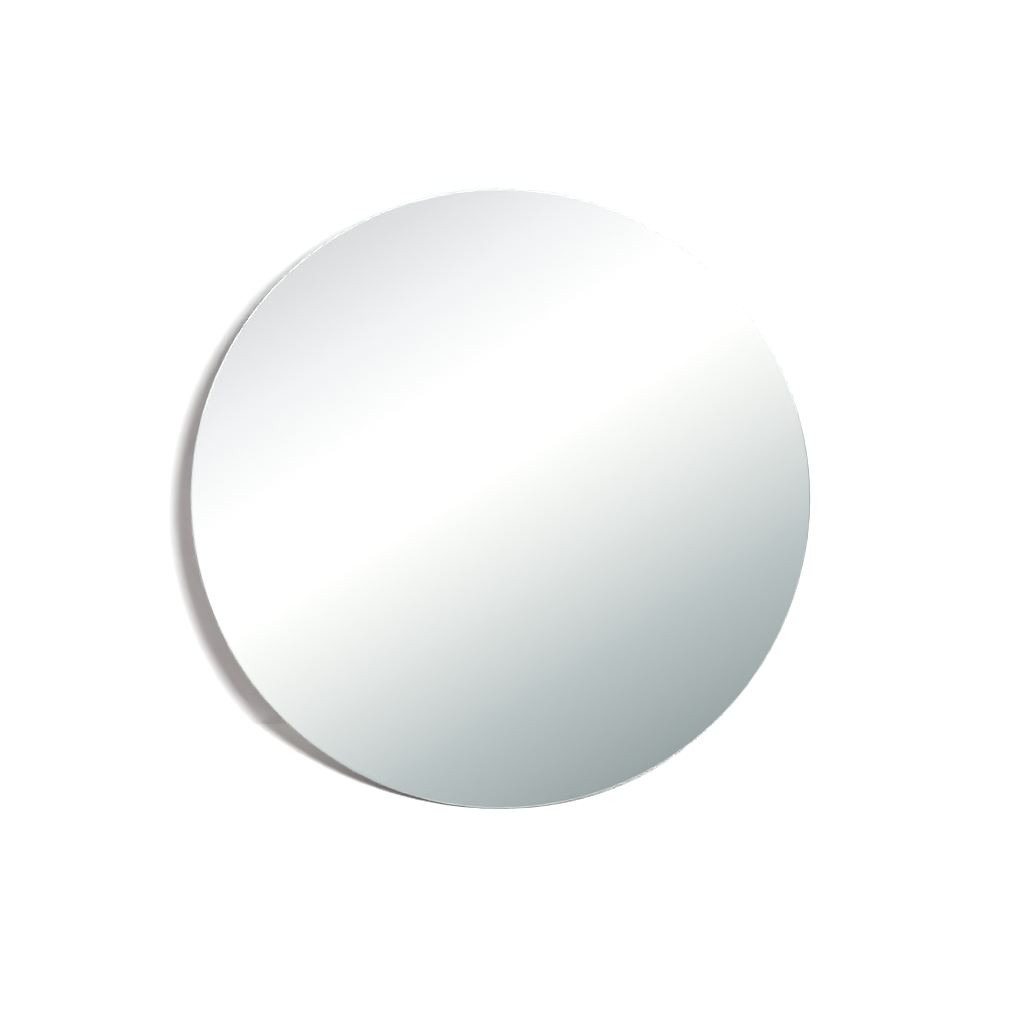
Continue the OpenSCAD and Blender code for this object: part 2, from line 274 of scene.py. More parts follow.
def grained_paper(name, home, tone=1.0, turned=False):
    """Embossed black paper: a pebbled leather grain with painted shade in its valleys, a fine tooth
    over it, and soft handling marks.
    """
    made = Recipe(name, (0.028, 0.027, 0.027), 0.5, home, Specular_IOR_Level=0.3)
    drawn = (0.78, 1, 1) if turned else (1, 1, 0.78)
    place = made.warped(2.2, 0.9, made.stretched(drawn))
    pebble = made.cells(1.25, "DISTANCE_TO_EDGE", place)
    valley = made.levels(pebble, 0.0, 0.22, smooth=True)
    small = made.levels(made.cells(0.5, "DISTANCE_TO_EDGE", place), 0.0, 0.2, smooth=True)
    grain = made.maths("ADD", valley, made.maths("MULTIPLY", small, 0.35))
    tooth = made.noise(0.16, 2)
    # The grain's valleys take the dark colour and its tops the pale one: painted shade in the valleys.
    dark = tuple(c * tone for c in (0.009, 0.0087, 0.0088))
    pale = tuple(c * tone for c in (0.028, 0.0268, 0.0265))
    base = made.blend(valley, dark, pale)
    cloud = made.levels(made.noise(34, 3, 0.55), 0.35, 0.68, smooth=True)
    base = made.blend(made.maths("MULTIPLY", cloud, 0.35), base, tuple(c * 1.5 for c in pale))
    rub = made.noise(1, 4, 0.6, place=made.stretched((0.35, 0.35, 0.045)))
    scuff = made.levels(rub, 0.66, 0.78, smooth=True)
    made.colour(made.blend(made.maths("MULTIPLY", scuff, 0.3), base, (0.10, 0.096, 0.092)))
    shine = made.maths("MULTIPLY_ADD", valley, -0.16)
    shine.node.inputs[2].default_value = 0.62
    handled = made.maths("MULTIPLY_ADD", cloud, -0.12)
    made.set(handled.node.inputs[2], shine)
    made.rough(handled)
    made.relief(grain, 0.13)
    made.relief(tooth, 0.02)
    return made.material


def moulded_plastic():
    """Black ABS with a spark-eroded mould texture and a slight flow variation."""
    made = Recipe("moulded_plastic", (0.022, 0.022, 0.023), 0.5)
    spark = made.cells(0.34, "SMOOTH_F1", made.warped(0.5, 0.2))
    flow = made.noise(6, 3, place=made.stretched((1, 1, 0.4)))
    made.colour(made.blend(flow, (0.017, 0.017, 0.018), (0.032, 0.032, 0.034)))
    made.rough(made.levels(spark, 0.1, 0.7, 0.42, 0.6))
    made.relief(spark, 0.06)
    return made.material


def rubber(name, home, tone):
    """Matt rubber with a fine skin, paler where it has been handled and dusted."""
    made = Recipe(name, (tone, tone, tone), 0.8, home, Specular_IOR_Level=0.35)
    dust = made.levels(made.noise(2.6, 5, 0.65), 0.5, 0.72, smooth=True)
    skin = made.noise(0.22, 3)
    dark, pale = (tone, tone, tone * 1.02), (tone * 3.2, tone * 3.1, tone * 2.9)
    made.colour(made.blend(made.maths("MULTIPLY", dust, 0.6), dark, pale))
    made.rough(made.levels(dust, 0, 1, 0.68, 0.88))
    made.relief(skin, 0.04)
    return made.material


def plated(name, colour, roughness, along, mark=0.5):
    """Plated metal with fine drawn lines along one axis, soft stains and a few scratches."""
    made = Recipe(name, colour, roughness, Metallic=1.0)
    lines = made.noise(1, 3, 0.6, place=made.stretched(along))
    stain = made.levels(made.noise(5, 4, 0.6), 0.42, 0.7, smooth=True)
    dull = tuple(c * 0.72 for c in colour)
    made.colour(made.blend(made.maths("MULTIPLY", stain, mark), colour, dull))
    turned = made.node("Mapping")
    made.set(turned.inputs["Vector"], made.place)
    turned.inputs["Rotation"].default_value = (0, math.radians(33), 0)
    turned.inputs["Scale"].default_value = (0.11, 3.2, 3.2)
    scored = made.levels(made.noise(1, 1, place=turned.outputs[0]), 0.73, 0.76)
    rough = made.levels(lines, 0.3, 0.7, roughness * 0.8, roughness * 1.25)
    rough = made.maths("ADD", rough, made.maths("MULTIPLY", stain, 0.12))
    made.rough(made.maths("ADD", rough, made.maths("MULTIPLY", scored, 0.12)))
    made.relief(lines, 0.006)
    made.relief(scored, -0.006)
    return made.material


def woven_ribbon():
    """Black polyester ribbon: the ribs are modelled, and the fine warp that wraps them is a bump."""
    made = Recipe("woven_ribbon", (0.014, 0.014, 0.016), 0.42, Sheen_Weight=0.35)
    made.shader.inputs["Sheen Roughness"].default_value = 0.4
    made.shader.inputs["Sheen Tint"].default_value = (0.6, 0.62, 0.68, 1)
    across = made.axis("X")
    warp = made.maths("SINE", made.maths("MULTIPLY", across, 2 * math.pi / 0.26))
    fuzz = made.noise(0.3, 3)
    # The grooves between the warp's threads are coloured darker than their crowns: painted shade in
    # the grooves.
    made.colour(made.blend(made.levels(warp, -1, 1), (0.008, 0.008, 0.009), (0.026, 0.026, 0.029)))
    made.rough(made.levels(fuzz, 0.3, 0.7, 0.36, 0.55))
    made.relief(warp, 0.03)
    made.relief(fuzz, 0.03)
    return made.material


NICKEL = (0.66, 0.615, 0.55)
ZINC = (0.62, 0.63, 0.64)
STEEL = (0.56, 0.55, 0.53)

paints = {
    "glass_face": glass("glass_face", 0.0).material,
    "glass_edge": glass_edge(),
    "glass_arris": glass_arris(),
    "silver": silver(),
    "backing_paint": backing_paint(),
    "foam": foam(),
    "board_edge": board_edge("board_edge", MIRROR),
    "strut_edge": board_edge("strut_edge", STRUT),
    "cover_paper": grained_paper("cover_paper", MIRROR),
    "wrap_paper": grained_paper("wrap_paper", STRUT, 1.25, turned=True),
    "heel_plastic": moulded_plastic(),
    "pad_rubber": rubber("pad_rubber", MIRROR, 0.016),
    "shoe_rubber": rubber("shoe_rubber", STRUT, 0.02),
    "nickel": plated("nickel", NICKEL, 0.26, (0.08, 6, 6)),
    "tack_nickel": plated("tack_nickel", NICKEL, 0.2, (2, 2, 2), 0.3),
    "zinc": plated("zinc", ZINC, 0.3, (3, 3, 3), 0.6),
    "steel": plated("steel", STEEL, 0.2, (0.5, 5, 5), 0.4),
    "ribbon": woven_ribbon(),
}


# ---------------------------------------------------------------- shapes, in millimetres


def filleted(points, steps=4, closed=False):
    """A path whose corners are rounded where a point is (a, b, radius) instead of (a, b)."""
    path = []
    last = len(points) - 1
    for index, point in enumerate(points):
        here = Vector(point[:2])
        if len(point) < 3 or (not closed and index in (0, last)):
            path.append(here)
            continue
        before = (Vector(points[index - 1][:2]) - here).normalized()
        after = (Vector(points[(index + 1) % len(points)][:2]) - here).normalized()
        half = before.angle(after) / 2
        centre = here + (before + after).normalized() * point[2] / math.sin(half)
        start = here + before * point[2] / math.tan(half) - centre
        end = here + after * point[2] / math.tan(half) - centre
        for step in range(steps + 1):
            path.append(centre + start.slerp(end, step / steps).normalized() * point[2])
    return path


def lathe(profile, segments=48, kinds=None):
    """Turns a path of (radius, height) about Z. kinds gives each band its material's index."""
    bm = bmesh.new()
    rings = []
    for radius, height in profile:
        count = segments if radius > 1e-6 else 1
        angles = [2 * math.pi * k / segments for k in range(count)]
        rings.append([
            bm.verts.new((radius * math.cos(a), radius * math.sin(a), height)) for a in angles
        ])
    for band, (one, two) in enumerate(zip(rings, rings[1:])):
        for k in range(segments):
            nxt = (k + 1) % segments
            corners = [one[k % len(one)], one[nxt % len(one)]]
            corners += [two[nxt % len(two)], two[k % len(two)]]
            face = bm.faces.new(list(dict.fromkeys(corners)))
            face.material_index = kinds[band] if kinds else 0
    return bm


def drill(radius, low, high, segments=24):
    """What is cut away for a round hole along Z."""
    return lathe([(0, low), (radius, low), (radius, high), (0, high)], segments)


def capped_disc(outline, segments, kinds=None):
    """A lathed disc whose two flat sides are one face each. outline runs from front to back."""
    bm = lathe(outline, segments, kinds)
    bm.verts.ensure_lookup_table()
    bm.faces.new(bm.verts[:segments])
    bm.faces.new(bm.verts[-segments:])
    return bm


def bridged(bm, one, two):
    """Faces all the way round between two closed rings of corners."""
    for k in range(len(one)):
        nxt = (k + 1) % len(one)
        bm.faces.new((one[k], one[nxt], two[nxt], two[k]))


def prism(outline, low, high):
    """An outline in Y and Z, given width along X."""
    bm = bmesh.new()
    ends = [[bm.verts.new((x, y, z)) for y, z in outline] for x in (low, high)]
    bm.faces.new(ends[0])
    bm.faces.new(ends[1])
    bridged(bm, *ends)
    bmesh.ops.recalc_face_normals(bm, faces=bm.faces)
    return bm


def block(low, high):
    bm = bmesh.new()
    bmesh.ops.create_cube(bm, size=1)
    size = Vector(high) - Vector(low)
    bmesh.ops.scale(bm, vec=size, verts=bm.verts)
    bmesh.ops.translate(bm, vec=(Vector(high) + Vector(low)) / 2, verts=bm.verts)
    return bm


def placed(bm, matrix):
    bmesh.ops.transform(bm, matrix=matrix, verts=bm.verts)
    return bm


def at(x, y, z, turn=None):
    moved = Matrix.Translation((x, y, z))
    return moved @ turn if turn else moved


def joined(*parts):
    """Several bmeshes as one, without welding them."""
    whole = bmesh.new()
    for part in parts:
        mesh = bpy.data.meshes.new("part")
        part.to_mesh(mesh)
        part.free()
        whole.from_mesh(mesh)
        bpy.data.meshes.remove(mesh)
    return whole


def carved(bm, tool, operation="DIFFERENCE"):
    """bm with tool cut away from it or added to it."""
    ends = []
    for part in (bm, tool):
        bmesh.ops.recalc_face_normals(part, faces=part.faces)
        mesh = bpy.data.meshes.new("carving")
        part.to_mesh(mesh)
        part.free()
        ends.append(bpy.data.objects.new("carving", mesh))
        bpy.context.scene.collection.objects.link(ends[-1])
    cut = ends[0].modifiers.new("cut", "BOOLEAN")
    cut.operation = operation
    cut.solver = "EXACT"
    cut.use_self = True
    cut.object = ends[1]
    seen = ends[0].evaluated_get(bpy.context.evaluated_depsgraph_get())
    result = bmesh.new()
    result.from_mesh(seen.to_mesh())
    for end in ends:
        mesh = end.data
        bpy.data.objects.remove(end)
        bpy.data.meshes.remove(mesh)
    bmesh.ops.remove_doubles(result, verts=result.verts, dist=1e-4)
    return result


def cad_mesh(node, place):
    """A CAD node's own mesh in a local frame, with its flat faces whole again."""
    bm = bmesh.new()
    bm.from_mesh(frame["nodes"][node].data)
    placed(bm, place.inverted())
    bmesh.ops.scale(bm, vec=(1 / MM,) * 3, verts=bm.verts)
    bmesh.ops.remove_doubles(bm, verts=bm.verts, dist=2e-3)
    bmesh.ops.dissolve_limit(
        bm, angle_limit=math.radians(0.5), verts=bm.verts, edges=bm.edges, delimit={"NORMAL"}
    )
    return bm


def span(node, place):
    """A CAD node's lowest and highest corners in a local frame."""
    bm = cad_mesh(node, place)
    low = Vector(min(v.co[k] for v in bm.verts) for k in range(3))
    high = Vector(max(v.co[k] for v in bm.verts) for k in range(3))
    bm.free()
    return low, high


def piece(name, bm, place, body, nodes, looks, bevel=0.0, steps=2, flat=False):
    """Makes the finished piece from a bmesh in millimetres, and puts it on its body."""
    bmesh.ops.scale(bm, vec=(MM,) * 3, verts=bm.verts)
    placed(bm, place)
    bmesh.ops.recalc_face_normals(bm, faces=bm.faces)
    mesh = bpy.data.meshes.new(name)
    bm.to_mesh(mesh)
    bm.free()
    for look in looks:
        mesh.materials.append(paints[look])
    obj = bpy.data.objects.new(name, mesh)
    bpy.context.scene.collection.objects.link(obj)
    mesh.shade_smooth()
    if bevel:
        edge = obj.modifiers.new("edge", "BEVEL")
        edge.width = bevel * MM
        edge.segments = steps
        edge.limit_method = "ANGLE"
        edge.angle_limit = math.radians(28)
        edge.harden_normals = True
    else:
        mesh.set_sharp_from_angle(angle=math.radians(32))
    for polygon in mesh.polygons:
        polygon.use_smooth = not (flat and len(polygon.vertices) > 8)
    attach(obj, body)
    if nodes:
        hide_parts(*nodes)
    return obj


# ---------------------------------------------------------------- camera
# It looks squarely at the glass. The disc sits a little left of the middle and above it.

CAMERA_FAR = 1720
FRAME_W = 412.9
DISC_LEFT = 4.64
DISC_UP = 5.44


def on_mirror(x, depth, height):
    return MIRROR @ Vector((x * MM, depth * MM, height * MM))


camera = bpy.data.cameras.new("camera")
camera.sensor_width = 36
camera.lens = camera.sensor_width * CAMERA_FAR / FRAME_W
eye = bpy.data.objects.new("camera", camera)
bpy.context.scene.collection.objects.link(eye)
bpy.context.scene.camera = eye
eye.matrix_world = (
    Matrix.Translation(on_mirror(DISC_LEFT, -CAMERA_FAR, GLASS_R - DISC_UP)) @ leaning @ FORWARD
)
bpy.context.scene.view_settings.view_transform = "Standard"


# ---------------------------------------------------------------- glass and its coats

RIM = 256
ARRIS_DEEP = 0.3
ARRIS_W = 0.1  # what an arris takes off a face, so little that the silver seems to reach the rim
SILVER_R = GLASS_R - ARRIS_W
SILVER_FRONT = 3.97  # just inside the glass, so that no two faces lie in one plane
SILVER_BACK = 4.09
PAINT_FRONT = 4.07  # the paint laps the silver's back
PAINT_BACK = 4.2

outline = filleted([
    (GLASS_R - ARRIS_W, 0), (GLASS_R, ARRIS_DEEP, 0.1), (GLASS_R, GLASS_T - ARRIS_DEEP, 0.1),
    (GLASS_R - ARRIS_W, GLASS_T),
], 3)
# The flat of the edge is polished, with the start of its front rounding, and the rest is arris
POLISHED, SATIN = 1, 2
kinds = [POLISHED if 2 <= k <= 4 else SATIN for k in range(len(outline) - 1)]
disc_place = at(0, 0, GLASS_R, BACKWARD)
bm = capped_disc(outline, RIM, kinds)
piece(
    "glass", placed(bm, disc_place), MIRROR, "mirror", ["mirror_glass"],
    ["glass_face", "glass_edge", "glass_arris"], flat=True,
)

bm = capped_disc([(SILVER_R, SILVER_FRONT), (SILVER_R, SILVER_BACK)], RIM)
piece(
    "silver_layer", placed(bm, disc_place), MIRROR, "mirror", ["silver_coat"],
    ["silver"], flat=True,
)

outline = filleted([
    (SILVER_R - 0.1, PAINT_FRONT), (SILVER_R, SILVER_BACK), (SILVER_R, PAINT_BACK, 0.06),
    (SILVER_R - 0.3, PAINT_BACK),
])
bm = capped_disc(outline, RIM)
piece(
    "back_paint", placed(bm, disc_place), MIRROR, "mirror", ["backing_paint"],
    ["backing_paint"], flat=True,
)


# ---------------------------------------------------------------- foam tape, board and cover

TAPE_CORNER = 0.5
TAPE_STEP = 2.5
TAPE_LAYERS = 6
TAPE_BULGE = 0.3
TAPE_INSET = 0.1  # so that the wandering sides stay about the strip's own size


def foam_strip(low, high):
    """A strip cut by hand from a roll: its sides bulge between its two faces and wander a little."""
    corners = [(low.x, low.z), (high.x, low.z), (high.x, high.z), (low.x, high.z)]
    outline = filleted([(*corner, TAPE_CORNER) for corner in corners], 4, closed=True)
    path = []
    for k, here in enumerate(outline):
        after = outline[(k + 1) % len(outline)]
        parts = max(1, round((after - here).length / TAPE_STEP))
        path += [here.lerp(after, step / parts) for step in range(parts)]
    bm = bmesh.new()
    rings = []
    for layer in range(TAPE_LAYERS + 1):
        share = layer / TAPE_LAYERS
        bulge = TAPE_BULGE * (1 - (2 * share - 1) ** 2)
        ring = []
        for k, here in enumerate(path):
            along = (path[(k + 1) % len(path)] - path[k - 1]).normalized()
            wander = 0.05 * math.sin(k * 0.9 + low.x) + 0.04 * math.sin(k * 2.3 + 4 * share)
            spot = here + Vector((along.y, -along.x)) * (bulge + wander - TAPE_INSET)
            ring.append(bm.verts.new((spot.x, low.y + (high.y - low.y) * share, spot.y)))
        rings.append(ring)
    bm.faces.new(rings[0])
    bm.faces.new(rings[-1])
    for one, two in zip(rings, rings[1:]):
        bridged(bm, one, two)
    bmesh.ops.recalc_face_normals(bm, faces=bm.faces)
    return bm


for index in range(1, 5):
    node = f"tape_strip_{index}"
    bm = foam_strip(*span(node, MIRROR))
    tape = piece(f"foam_strip_{index}", bm, MIRROR, "mirror", [node], ["foam"])

# Screws and the tack, as (across, along): the leaf's from the pin, the heel's from the glass's foot
LEAF_SCREWS = [(-17, 12), (0, 16.5), (17, 12)]
HEEL_SCREWS = [(-4.8, 15), (4.8, 15)]
LEAF_SCREW_R = 1.2
HEEL_SCREW_R = 1.5
TACK_R = 0.8
STAY_DROP = 96  # from the pin to the ribbon's bends
TAB_LENGTH = 11
TACK_HEIGHT = HINGE.z - STAY_DROP + TAB_LENGTH / 2


def borings(depth, into):
    """The holes in the board and its cover for the hinge's and the heel's screws and the tack."""
    places = [(x, HINGE.z + up, LEAF_SCREW_R) for x, up in LEAF_SCREWS]
    places += [(x, up, HEEL_SCREW_R) for x, up in HEEL_SCREWS]
    places.append((0, TACK_HEIGHT, TACK_R))
    return joined(*[
        placed(drill(radius, 0, into), at(x, depth, z, FORWARD)) for x, z, radius in places
    ])


board_low, board_high = span("back_board", MIRROR)
board_r = (board_high.x - board_low.x) / 2
front, back = board_low.y, board_high.y
outline = filleted([
    (board_r - 0.4, front), (board_r, front + 0.4, 0.2), (board_r, back - 1, 0.4),
    (board_r - 1, back),
], 4)
bm = carved(placed(capped_disc(outline, RIM), disc_place), borings(back + 1, 5.5))
piece("board", bm, MIRROR, "mirror", ["back_board"], ["board_edge"], flat=True)

cover_low, cover_high = span("board_cover", MIRROR)
cover_r = (cover_high.x - cover_low.x) / 2
outline = filleted([
    (cover_r, cover_low.y), (cover_r, cover_high.y, 0.15), (cover_r - 0.5, cover_high.y),
], 4)
bm = carved(placed(capped_disc(outline, RIM), disc_place), borings(cover_high.y + 1, 2))
piece(
    "board_paper", bm, MIRROR, "mirror", ["board_cover"], ["cover_paper"], flat=True,
)


# ---------------------------------------------------------------- heel

bm = cad_mesh("heel_block", MIRROR)
piece(
    "heel", bm, MIRROR, "mirror", ["heel_block"], ["heel_plastic"],
    bevel=0.35, steps=3,
)


def treaded(node, place, grooves, wide=0.8, deep=0.45):
    """A rubber piece with grooves cut across its underside, which lies on the counter at Z = 0."""
    bm = cad_mesh(node, Matrix.Identity(4))
    low, high = span(node, Matrix.Identity(4))
    pitch = (high.y - low.y) / (grooves + 1)
    cuts = []
    for k in range(1, grooves + 1):
        middle = low.y + pitch * k
        cuts.append(block((low.x - 1, middle - wide / 2, -1), (high.x + 1, middle + wide / 2, deep)))
    bm = carved(bm, joined(*cuts))
    bmesh.ops.scale(bm, vec=(MM,) * 3, verts=bm.verts)
    placed(bm, place.inverted())
    bmesh.ops.scale(bm, vec=(1 / MM,) * 3, verts=bm.verts)
    return bm


bm = treaded("heel_pad", MIRROR, 4)
piece("heel_sole", bm, MIRROR, "mirror", ["heel_pad"], ["pad_rubber"], bevel=0.22)


# ---------------------------------------------------------------- screws


def cross(top, length=2.8, wide=0.62, deep=0.85):
    """A cross recess that narrows as it goes in, from height top downwards along +Z."""
    wings = []
    for turn in (0, math.pi / 2):
        wing = block((-length / 2, -wide / 2, -0.5), (length / 2, wide / 2, deep))
        for v in wing.verts:
            if v.co.z > 0:
                v.co.x *= 0.42
                v.co.y *= 0.7
        wings.append(placed(wing, Matrix.Rotation(turn, 4, "Z")))
    both = carved(*wings, "UNION")
    return placed(both, Matrix.Translation((0, 0, top)))


def wood_screw(profile, top, turn):
    bm = carved(lathe(profile, 40), cross(top))
    return placed(bm, Matrix.Rotation(math.radians(turn), 4, "Z"))


def flat_screw(length, turn):
    """Countersunk, its head's face at Z = 0 and its point along +Z."""
    profile = filleted([
        (0, 0.02), (2.1, 0.02, 0.3), (2.38, 0.1, 0.06), (1.2, 1.25), (1.2, length - 1.4), (0, length),
    ], 3)
    return wood_screw(profile, 0.02, turn)


def pan_screw(turn):
    """Its head stands 2 mm above Z = 0 and its point is along +Z."""
    profile = filleted([
        (0, -2), (2.05, -1.95, 1.2), (2.8, -0.9, 0.5), (2.8, 0, 0.12), (1.5, 0), (1.5, 7.9), (0, 9.3),
    ], 4)
    return wood_screw(profile, -2, turn)


COUNTERBORE = 5
seat = span("heel_block", MIRROR)[1].y - COUNTERBORE
bm = joined(*[
    placed(pan_screw(turn), at(x, seat, z, FORWARD))
    for (x, z), turn in zip(HEEL_SCREWS, (20, 67))
])
piece("heel_screw_pair", bm, MIRROR, "mirror", ["heel_screws"], ["zinc"])


# ---------------------------------------------------------------- hinge
# Each leaf is one pressing whose knuckles are rolled round the pin and leave a seam.

BARREL_R = 3.25
LEAF_T = 1.2
HINGE_HALF = 25
PITCH = 10
GAP = 0.1
ROLL = math.radians(304)
ROLL_STEPS = 44
PLATE_LOW, KNUCKLE_TOP = 3.7, 4.0  # the knuckles reach a little into the plate


def rolled_knuckle(k, bore, outside):
    """One knuckle: the strip leaves the leaf at -Y, rolls round X and stops short of the leaf."""
    outline = [(-BARREL_R, KNUCKLE_TOP)]
    turns = [ROLL * step / ROLL_STEPS for step in range(ROLL_STEPS + 1)]
    outline += [(-outside * math.cos(a), -outside * math.sin(a)) for a in turns]
    outline += [(-bore * math.cos(a), -bore * math.sin(a)) for a in reversed(turns)]
    outline += [(LEAF_T - BARREL_R, 0.6), (LEAF_T - BARREL_R, KNUCKLE_TOP)]
    low = -HINGE_HALF + k * PITCH + GAP
    return prism(outline, low, low + PITCH - 2 * GAP)


def hinge_leaf(own, bore, outside, turned):
    """One leaf on the X axis, its plate along +Z, with its screw holes countersunk from one side."""
    half, tip, corner = HINGE_HALF - GAP, 22, 3
    corners = [(-half, PLATE_LOW), (half, PLATE_LOW), (half, tip, corner), (-half, tip, corner)]
    shape = filleted(corners, 8, closed=True)
    bm = bmesh.new()
    sides = [[bm.verts.new((x, y, z)) for x, z in shape] for y in (-BARREL_R, LEAF_T - BARREL_R)]
    bm.faces.new(sides[0])
    bm.faces.new(sides[1])
    bridged(bm, *sides)
    for k in own:
        bm = carved(bm, rolled_knuckle(k, bore, outside), "UNION")
    holes = []
    for x, z in LEAF_SCREWS:
        cone = lathe([(0, -0.2), (2.6, -0.2), (1.22, 1.18), (1.22, 2), (0, 2)], 40)
        face = at(x, -BARREL_R, z, BACKWARD) if turned else at(x, LEAF_T - BARREL_R, z, FORWARD)
        holes.append(placed(cone, face))
    bm = carved(bm, joined(*holes))
    bmesh.ops.dissolve_limit(
        bm, angle_limit=math.radians(1), verts=bm.verts, edges=bm.edges, delimit={"NORMAL"}
    )
    return bm


bm = placed(hinge_leaf([0, 2, 4], 2.02, BARREL_R, False), Matrix.Translation(HINGE))
piece(
    "hinge_leaf_board", bm, MIRROR, "mirror", ["hinge_board_leaf"], ["nickel"],
    bevel=0.16,
)
bm = placed(hinge_leaf([1, 3], 2.06, BARREL_R - 0.03, True), Matrix.Rotation(math.pi, 4, "X"))
piece(
    "hinge_leaf_strut", bm, STRUT, "strut", ["hinge_strut_leaf"], ["nickel"],
    bevel=0.16,
)
profile = filleted([
    (0, -HINGE_HALF), (1.5, -24.95, 0.4), (2, -24.5, 0.2), (2, 24.5, 0.2), (1.5, 24.95, 0.4),
    (0, HINGE_HALF),
], 4)
bm = placed(lathe(profile), Matrix.Translation(HINGE) @ ACROSS)
piece("hinge_rod", bm, MIRROR, "mirror", ["hinge_pin"], ["steel"])

leaf_face = HINGE.y - BARREL_R + LEAF_T
bm = joined(*[
    placed(flat_screw(5.8, turn), at(x, leaf_face, HINGE.z + up, FORWARD))
    for (x, up), turn in zip(LEAF_SCREWS, (12, 71, 38))
])
piece("board_leaf_screws", bm, MIRROR, "mirror", ["hinge_board_screws"], ["zinc"])
bm = joined(*[
    placed(flat_screw(4.5, turn), at(x, BARREL_R, -down, FORWARD))
    for (x, down), turn in zip(LEAF_SCREWS, (55, 8, 80))
])
piece("strut_leaf_screws", bm, STRUT, "strut", ["hinge_strut_screws"], ["zinc"])


# ---------------------------------------------------------------- strut

bm = cad_mesh("strut_panel", STRUT)
piece("strut_board", bm, STRUT, "strut", ["strut_panel"], ["strut_edge"], bevel=0.3)
for side in ("inner", "outer"):
    bm = cad_mesh(f"strut_wrap_{side}", STRUT)
    piece(
        f"strut_paper_{side}", bm, STRUT, "strut", [f"strut_wrap_{side}"],
        ["wrap_paper"], bevel=0.1,
    )
for side in ("left", "right"):
    bm = treaded(f"strut_shoe_{side}", STRUT, 3, wide=0.7, deep=0.4)
    piece(
        f"shoe_{side}", bm, STRUT, "strut", [f"strut_shoe_{side}"],
        ["shoe_rubber"], bevel=0.3, steps=3,
    )


# ---------------------------------------------------------------- ribbon stay
# A tab is tacked to the board, the free span crosses to the strut, and a tab is riveted there.

RIBBON_W = 12
RIBBON_T = 0.3
RIB = 0.9
RIB_DEEP = 0.07
SELVEDGE = 0.94  # where it starts, as a share of half the width
BEND_R = 0.3
ON_BOARD = 10.65  # depth of the ribbon's middle on the board's paper
ON_STRUT = -2.1  # and on the strut's
STRUT_BACK = 2.05
EYELET_DOWN = -STAY_DROP - TAB_LENGTH / 2
EYELET_R = 1.9
SAG = 0.5
board_bend = Vector((ON_BOARD, HINGE.z - STAY_DROP + RIBBON_T / 2))
strut_bend_local = Vector((0, ON_STRUT, -STAY_DROP - RIBBON_T / 2))
turned_back = Matrix.Rotation(STRUT_OPEN, 4, "X") @ strut_bend_local + HINGE
strut_bend = Vector((turned_back.y, turned_back.z))
chord = (strut_bend - board_bend).normalized()


def strip(path):
    """A ribbon along a path of (depth, height), ribbed across, with a smooth selvedge each side."""
    bm = bmesh.new()
    half = RIBBON_W / 2
    right = [0.3, 0.6, SELVEDGE - 0.02, SELVEDGE + 0.01, 0.985, 1]
    columns = [-c for c in reversed(right)] + [0] + right
    rows = []
    run = 0.0
    for k, here in enumerate(path):
        before, after = path[max(k - 1, 0)], path[min(k + 1, len(path) - 1)]
        along = (after - before).normalized()
        if k:
            run += (here - path[k - 1]).length
        side = Vector((-along.y, along.x))
        crest = 0.5 - 0.5 * math.cos(2 * math.pi * run / RIB)
        top, bottom = [], []
        for c in columns:
            thick = RIBBON_T / 2 * (1 if abs(c) < 1 else 0.6)
            if abs(c) < SELVEDGE:
                thick -= RIB_DEEP * (1 - crest)
            for row, sign in ((top, 1), (bottom, -1)):
                spot = here + side * thick * sign
                row.append(bm.verts.new((c * half, spot.x, spot.y)))
        rows.append(top + bottom[::-1])
    for one, two in zip(rows, rows[1:]):
        bridged(bm, one, two)
    for row in (rows[0], rows[-1]):
        for k in range(len(columns) - 1):
            bm.faces.new((row[k], row[k + 1], row[-2 - k], row[-1 - k]))
    return bm


def straight(a, b, step=0.15):
    count = max(2, round((b - a).length / step))
    return [a.lerp(b, k / count) for k in range(count + 1)]


def bent(start, turn_centre, angle, steps=8):
    """Points on an arc from start about turn_centre."""
    arm = start - turn_centre
    points = []
    for k in range(1, steps + 1):
        c, s = math.cos(angle * k / steps), math.sin(angle * k / steps)
        points.append(turn_centre + Vector((arm.x * c - arm.y * s, arm.x * s + arm.y * c)))
    return points


# The board's tab comes down the board and turns out along the chord
tab_top = board_bend + Vector((0, TAB_LENGTH - RIBBON_T / 2))
corner = board_bend + Vector((0, BEND_R))
out = math.atan2(chord.y, chord.x)
path = straight(tab_top, corner) + bent(corner, corner + Vector((BEND_R, 0)), math.pi / 2 + out)
span_start = path[-1]
hole = placed(drill(TACK_R, -2, 2, 20), at(0, ON_BOARD, TACK_HEIGHT, FORWARD))
bm = carved(strip(path), hole)
board_tab = piece("ribbon_board_tab", bm, MIRROR, "mirror", [], ["ribbon"])

# The strut's tab is drawn in the strut's frame and turns back along the same chord
toward = math.atan2(chord.y, chord.x) + math.pi - STRUT_OPEN
corner = Vector((ON_STRUT, strut_bend_local.z - BEND_R))
tab_end = Vector((ON_STRUT, strut_bend_local.z - TAB_LENGTH + RIBBON_T))
path = straight(tab_end, corner)
path += bent(corner, corner + Vector((-BEND_R, 0)), toward - math.pi / 2)
hole = placed(drill(EYELET_R, -2, 2, 28), at(0, ON_STRUT, EYELET_DOWN, FORWARD))
bm = carved(strip(path), hole)
strut_tab = piece("ribbon_strut_tab", bm, STRUT, "strut", [], ["ribbon"])
end = STRUT @ Vector((0, path[-1].x * MM, path[-1].y * MM))
end = MIRROR.inverted() @ end / MM
span_end = Vector((end.y, end.z))

# The free span hangs a hair slack between them
points = straight(span_start, span_end)
sag = Vector((-chord.y, chord.x)) * -SAG
path = [p + sag * math.sin(math.pi * k / (len(points) - 1)) for k, p in enumerate(points)]
ribbon = piece(
    "ribbon_span", strip(path), MIRROR, "mirror", ["stay_ribbon"], ["ribbon"],
)
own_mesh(ribbon)

